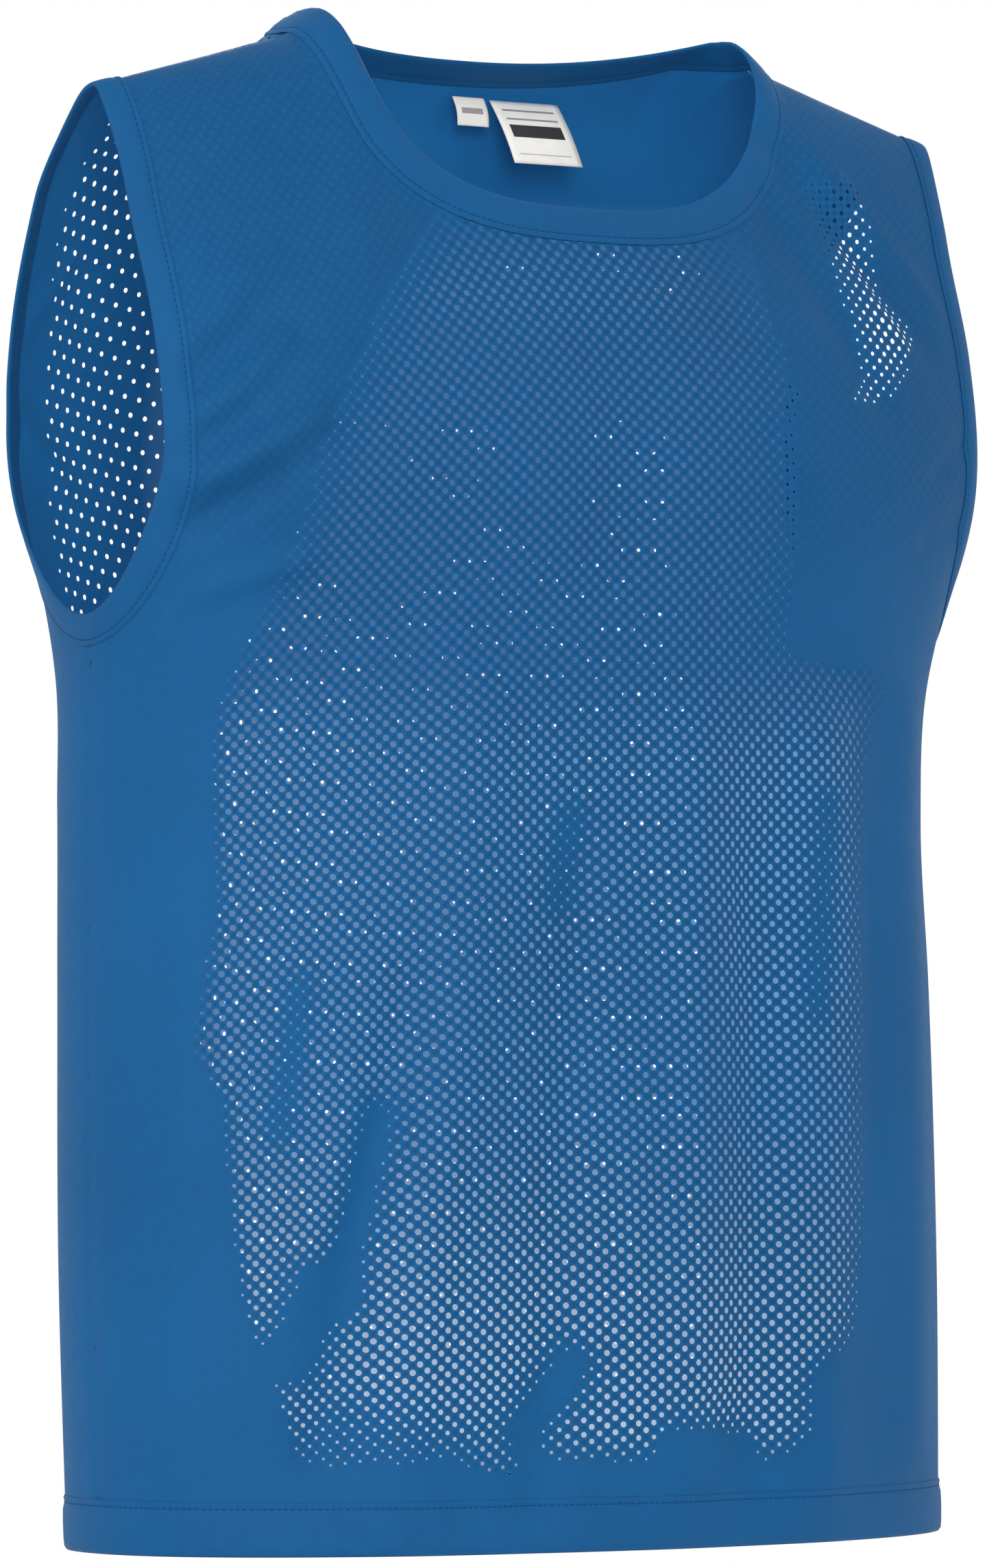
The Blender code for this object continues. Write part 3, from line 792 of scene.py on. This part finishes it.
def meet_seams(made, points):
    """Draws the points back to the side and shoulder seams, and says which were beyond them."""
    panel = made.panel
    side = side_at(panel, points.up)
    top = seam_up(panel, points.across)
    beyond = (np.abs(points.across) >= side) | (points.up >= top)
    across = np.clip(points.across, -side, side)
    for bend in SHOULDER_SEAM[1:-1]:  # both panels turn the seam's bends at the same points
        at_bend = (points.up >= top) & (np.abs(np.abs(across) - bend.across) < made.wide / 4)
        across[at_bend] = np.sign(across[at_bend]) * bend.across
    top = seam_up(panel, across)
    up = np.where(beyond & (points.up > top - made.tall / 4), top, np.minimum(points.up, top))
    near = np.minimum(side_at(panel, up) - np.abs(across), top - up)
    lift = points.lift - SEAM_SUNK * np.exp(-((near / SEAM_NEAR) ** 2))
    return Points(across, up, lift, points.shade), beyond


def whole_faces(shapes, beyond, turned):
    """Faces that reach the panel, without the points that a shut hole leaves twice."""
    faces = []
    for shape in shapes:
        for row in shape[~beyond[shape].all(axis=1)].tolist():
            face = [n for k, n in enumerate(row) if n != row[k - 1]]
            if len(face) > 2 and len(set(face)) == len(face):
                faces.append(face[::-1] if turned else face)
    return faces


def net(name, mat):
    """A panel of net: an eight-sided hole at each lattice site, and strands between them."""
    made = NETS[name]
    number, across, up, holed = lattice(made)
    radius = made.hole * hole_openness(made.panel, across, up) * holed
    is_open = radius > CLOSED_UNDER
    first = np.concatenate([[0], np.cumsum(np.where(is_open, SIDES, 1))])
    corners = squares(number)
    rims = rim_points(made, across, up, holed, radius, first)
    middles = middle_points(made, corners, across, up, radius)
    shapes = net_faces(number, corners, is_open, first)
    points, beyond = meet_seams(made, Points(*(np.concatenate(pair) for pair in zip(rims, middles))))
    faces = whole_faces(shapes, beyond, made.panel == "back")

    used = np.unique(np.concatenate([np.asarray(face) for face in faces]))
    renumber = np.zeros(len(points.up), int)
    renumber[used] = np.arange(len(used))
    places = np.stack([points.across, points.up], axis=-1)
    map_places = np.concatenate([places[face] for face in faces])
    worn = cloth(made.panel, points.across, points.up, points.lift)[used]
    panel_of_net = piece(name, worn, [renumber[face].tolist() for face in faces], map_places, mat)
    shade = panel_of_net.data.attributes.new("shade", "FLOAT", "POINT")
    shade.data.foreach_set("value", points.shade[used].astype(np.float32))
    return panel_of_net


# ---------------------------------------------------------------- strips
Layer = namedtuple("Layer", "share lift")
BINDING = [  # a doubled strip cut across: over the outside to the free edge, and back inside
    Layer(0.00, 0.00105),
    Layer(0.06, 0.00165),
    Layer(0.13, 0.00155),
    Layer(0.18, 0.00120),
    Layer(0.23, 0.00160),
    Layer(0.35, 0.00200),
    Layer(0.60, 0.00215),
    Layer(0.85, 0.00205),
    Layer(0.95, 0.00175),
    Layer(1.00, 0.00090),
    Layer(0.95, 0.00005),
    Layer(0.85, -0.00025),
    Layer(0.60, -0.00035),
    Layer(0.35, -0.00025),
    Layer(0.23, 0.00000),
    Layer(0.18, 0.00030),
    Layer(0.13, 0.00005),
    Layer(0.06, -0.00005),
    Layer(0.00, 0.00035),
]
HEM_FOLD = [  # the hem, turned up inside and stitched near its upper edge
    Layer(0.00, 0.00100),
    Layer(0.04, 0.00145),
    Layer(0.08, 0.00125),
    Layer(0.12, 0.00095),
    Layer(0.16, 0.00135),
    Layer(0.25, 0.00190),
    Layer(0.50, 0.00215),
    Layer(0.80, 0.00210),
    Layer(0.94, 0.00185),
    Layer(1.00, 0.00090),
    Layer(0.94, 0.00000),
    Layer(0.80, -0.00030),
    Layer(0.50, -0.00035),
    Layer(0.25, -0.00020),
    Layer(0.16, 0.00010),
    Layer(0.12, 0.00030),
    Layer(0.08, 0.00010),
    Layer(0.04, 0.00000),
    Layer(0.00, 0.00030),
]


NECK_STEPS = {"front": 130, "back": 110}
ARM_STEPS = 110
HEM_STEPS = 260


def neck_path(inset):
    front = neck_edge("front", inset, NECK_STEPS["front"])
    back = neck_edge("back", inset, NECK_STEPS["back"])
    return [("front", front[0][:-1], front[1][:-1]), ("back", -back[0][:-1], back[1][:-1])]


def armhole_path(side):
    def path(inset):
        front = armhole_edge("front", inset, ARM_STEPS)
        back = armhole_edge("back", inset, ARM_STEPS)
        return [
            ("front", side * front[0][:-1], front[1][:-1]),
            ("back", side * back[0][:0:-1], back[1][:0:-1]),
        ]
    return path


def hem_path(inset):
    shares = np.linspace(-1.0, 1.0, HEM_STEPS + 1)[:-1]
    return [
        ("front", side_at("front", inset) * shares, np.full(len(shares), inset)),
        ("back", side_at("back", inset) * -shares, np.full(len(shares), inset)),
    ]


def along_path(path, inset, lift):
    return np.concatenate([cloth(panel, across, up, lift) for panel, across, up in path(inset)])


def strip(name, edge, mat):
    """A doubled strip round an edge, open towards the panel that is sewn in."""
    layers = edge.layers
    width = edge.width
    rows = np.array([along_path(edge.path, width * (1 - layer.share), layer.lift) for layer in layers])
    count = rows.shape[1]
    middle = rows[len(layers) // 2]
    steps = np.linalg.norm(np.roll(middle, -1, axis=0) - middle, axis=1)
    along = np.concatenate([[0.0], np.cumsum(steps)])
    turns = [0.0]
    for first, second in zip(layers, layers[1:]):
        turns.append(turns[-1] + math.hypot(width * (second.share - first.share), second.lift - first.lift))
    faces = []
    corners = []
    for i in range(len(layers) - 1):
        for j in range(count):
            k = (j + 1) % count
            face = [i * count + j, i * count + k, (i + 1) * count + k, (i + 1) * count + j]
            place = [
                (along[j], turns[i]),
                (along[j + 1], turns[i]),
                (along[j + 1], turns[i + 1]),
                (along[j], turns[i + 1]),
            ]
            faces.append(face[::-1] if edge.flip else face)
            corners += place[::-1] if edge.flip else place
    return piece(name, rows.reshape(-1, 3), faces, corners, mat)


# ---------------------------------------------------------------- stitches
STITCH_PITCH = 0.0031
STITCH_LONG = 0.0022
STITCH_HALF = 0.00028
SPINDLE = ((0.0, 0.0), (0.18, 0.9), (0.82, 0.9), (1.0, 0.0))  # shares of its length and half width
SPINDLE_SIDES = 4


def stitches(name, edge, mat):
    """A line of thread round an edge: one small spindle for each stitch."""
    inset = edge.width * (1 - edge.stitched)
    line = along_path(edge.path, inset, edge.lift)
    raised = along_path(edge.path, inset, edge.lift + STITCH_LONG)
    line = np.concatenate([line, line[:1]])
    raised = np.concatenate([raised, raised[:1]])
    along = np.concatenate([[0.0], np.cumsum(np.linalg.norm(np.diff(line, axis=0), axis=1))])
    total = int(along[-1] / STITCH_PITCH)
    starts = np.arange(total) * along[-1] / total

    def at(values, where):
        return np.stack([np.interp(where, along, values[:, k]) for k in range(3)], axis=-1)

    out = at(raised - line, starts)
    out /= np.linalg.norm(out, axis=1, keepdims=True)
    ahead = at(line, starts + STITCH_LONG) - at(line, starts)
    ahead /= np.linalg.norm(ahead, axis=1, keepdims=True)
    aside = np.cross(ahead, out)
    rings = []
    for share_along, size in SPINDLE:
        centre = at(line, starts + STITCH_LONG * share_along)
        if size == 0.0:
            rings.append(centre[:, None, :])
            continue
        turned = []
        for k in range(SPINDLE_SIDES):
            angle = 2 * math.pi * k / SPINDLE_SIDES
            offset = out * math.cos(angle) + aside * math.sin(angle)
            turned.append(centre + offset * STITCH_HALF * size)
        rings.append(np.stack(turned, axis=1))
    points = np.concatenate(rings, axis=1)
    faces = []
    for n in range(total):
        tip = n * points.shape[1]
        near = tip + 1
        far = near + SPINDLE_SIDES
        end = far + SPINDLE_SIDES
        for k in range(SPINDLE_SIDES):
            after = (k + 1) % SPINDLE_SIDES
            faces.append([tip, near + after, near + k])
            faces.append([near + k, near + after, far + after, far + k])
            faces.append([end, far + k, far + after])
    corners = np.zeros((sum(len(face) for face in faces), 2))
    return piece(name, points.reshape(-1, 3), faces, corners, mat)


# ---------------------------------------------------------------- labels
Label = namedtuple("Label", "across wide hang_across hang_in hang_down up")
LABELS = {  # hung from the back neck seam, swung sideways and inwards by these amounts
    "label_size": Label(0.006, 0.0180, 0.001, 0.003, 0.0140, 0.6915),
    "label_main": Label(0.028, 0.0390, 0.003, 0.017, 0.0310, 0.6905),
}
LABEL_OFF = 0.0022
LABEL_WALL = 0.0005
LABEL_BOW = 0.0015       # its middle's bow inwards, and how much its foot curls
LABEL_CURL = 0.0006
LABEL_DOWN_STEPS = 16
LABEL_ACROSS_STEPS = 12

Stripe = namedtuple("Stripe", "low high left right shade")
STRIPES = {  # plain bars across the ribbons, in shares of their height and width
    "label_size": [Stripe(0.42, 0.62, 0.16, 0.84, 0.30)],
    "label_main": [
        Stripe(0.70, 0.73, 0.12, 0.88, 0.25),
        Stripe(0.84, 0.87, 0.12, 0.88, 0.25),
        Stripe(0.42, 0.62, 0.12, 0.88, 0.012),
        Stripe(0.14, 0.16, 0.12, 0.88, 0.45),
    ],
}


def label(name):
    """A ribbon sewn by its upper edge inside the back neck, hanging down and bowed a little."""
    tag = LABELS[name]
    down = np.linspace(0.0, 1.0, LABEL_DOWN_STEPS + 1)
    aside = np.linspace(0.0, 1.0, LABEL_ACROSS_STEPS + 1)
    f, g = np.meshgrid(down, aside, indexing="ij")
    top = cloth("back", tag.across + tag.wide * g, np.full(g.shape, tag.up), -LABEL_OFF)
    bow = LABEL_BOW * np.sin(math.pi * f) + LABEL_CURL * np.sin(math.pi * g) * f
    swing = np.stack([tag.hang_across * f, -tag.hang_in * f - bow, -tag.hang_down * f], axis=-1)
    points = (top + swing).reshape(-1, 3)
    faces = []
    corners = []
    count = len(aside)
    for i in range(LABEL_DOWN_STEPS):
        for j in range(LABEL_ACROSS_STEPS):
            for row, column in ((i, j), (i + 1, j), (i + 1, j + 1), (i, j + 1)):
                corners.append((g[row, column], 1 - f[row, column]))
            faces.append([i * count + j, (i + 1) * count + j, (i + 1) * count + j + 1, i * count + j + 1])
    made = piece(name + "_ribbon", points, faces, corners, satin("satin_" + name, STRIPES[name]))
    thicken = made.modifiers.new("thickness", "SOLIDIFY")
    thicken.thickness = LABEL_WALL
    thicken.offset = 0.0
    return made


# ---------------------------------------------------------------- the bib
Strip = namedtuple("Strip", "path width layers flip stitched lift")
STRIPS = {  # stitched is where across the strip its stitches run, as a share of its width
    "neck_band": Strip(neck_path, NECK_STRIP, BINDING, False, 0.18, 0.00135),
    "armhole_band_right": Strip(armhole_path(-1.0), ARM_STRIP, BINDING, False, 0.18, 0.00135),
    "armhole_band_left": Strip(armhole_path(1.0), ARM_STRIP, BINDING, True, 0.18, 0.00135),
    "hem_band": Strip(hem_path, HEM_TALL, HEM_FOLD, False, 0.12, 0.00110),
}


def dress():
    """Makes every piece that shows, in place of the solid that it covers."""
    strip_mat = knit("binding_knit", "binding")
    thread_mat = knit("thread", "thread")
    made = {}
    for name in NETS:
        panel = NETS[name].panel
        made[panel] = net(name, knit("knit_" + name, "net", panel))
        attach(made[panel], "root")
        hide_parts(panel)
    for node, edge in STRIPS.items():
        made[node] = strip(node + "_knit", edge, strip_mat)
        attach(made[node], "root")
        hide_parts(node)
        sewing = stitches(node + "_stitches", edge, thread_mat)
        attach(sewing, "root")
    for name in LABELS:
        made[name] = label(name)
        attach(made[name], "root")
        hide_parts(name)
    return made


made = dress()

# ---------------------------------------------------------------- floor, light and camera
CAMERA_AZIMUTH = math.radians(-35.0)
CAMERA_AWAY = 4.2
CAMERA_Z = -0.4714
TARGET = (0.0, 0.022, -0.3338)
FOCAL_PIXELS = 13020.0   # in a picture 2287 pixels high
PICTURE_TALL = 2287.0
SENSOR = 36.0
FLOOR_Z = -1.42
FLOOR_RADIUS = 3.0
FLOOR_STEPS = 64
FLOOR_PALE = 0.86

Lamp = namedtuple("Lamp", "place size power")
LAMPS = {
    "front": Lamp((-2.0, -3.4, 0.3), 1.2, 68.0),
    "side": Lamp((-3.4, -0.4, 1.4), 0.7, 34.0),
    "back": Lamp((2.4, 3.2, 0.9), 1.6, 46.0),
}
LAMPS_AIM = (0.0, 0.0, -0.30)


def aim(thing, towards):
    run = np.array(towards, float) - np.array(thing.location, float)
    flat = math.hypot(run[0], run[1])
    thing.rotation_euler = (math.atan2(flat, -run[2]), 0.0, math.atan2(-run[0], run[1]))


def area_light(name, lamp):
    data = bpy.data.lights.new(name, "AREA")
    data.shape = "DISK"
    data.size = lamp.size
    data.energy = lamp.power
    made = bpy.data.objects.new(name, data)
    made.location = lamp.place
    aim(made, LAMPS_AIM)
    bpy.context.scene.collection.objects.link(made)


def build_camera():
    data = bpy.data.cameras.new("camera")
    data.sensor_width = SENSOR
    data.lens = FOCAL_PIXELS * SENSOR / PICTURE_TALL
    camera = bpy.data.objects.new("camera", data)
    camera.location = (
        TARGET[0] + CAMERA_AWAY * math.sin(CAMERA_AZIMUTH),
        TARGET[1] - CAMERA_AWAY * math.cos(CAMERA_AZIMUTH),
        CAMERA_Z,
    )
    aim(camera, TARGET)
    bpy.context.scene.collection.objects.link(camera)
    bpy.context.scene.camera = camera


def build_floor():
    """A plain pale disc where a wearer's feet would stand, under the picture."""
    turns = np.linspace(0.0, 2 * math.pi, FLOOR_STEPS + 1)[:-1]
    rim = [(FLOOR_RADIUS * math.cos(turn), FLOOR_RADIUS * math.sin(turn), FLOOR_Z) for turn in turns]
    mesh = bpy.data.meshes.new("floor")
    mesh.from_pydata(rim, [], [list(range(FLOOR_STEPS))])
    pale = Shader("floor")
    pale.put(base_color=[FLOOR_PALE] * 3, roughness=0.9)
    mesh.materials.append(pale.material)
    floor = bpy.data.objects.new("floor", mesh)
    bpy.context.scene.collection.objects.link(floor)


def build_light():
    world = bpy.data.worlds.new("studio")
    world.use_nodes = True
    background = world.node_tree.nodes["Background"]
    background.inputs["Color"].default_value = (1.0, 1.0, 1.0, 1.0)
    background.inputs["Strength"].default_value = 1.0
    bpy.context.scene.world = world
    bpy.context.scene.view_settings.view_transform = "Standard"
    for name, lamp in LAMPS.items():
        area_light(name, lamp)


build_floor()
build_light()
build_camera()
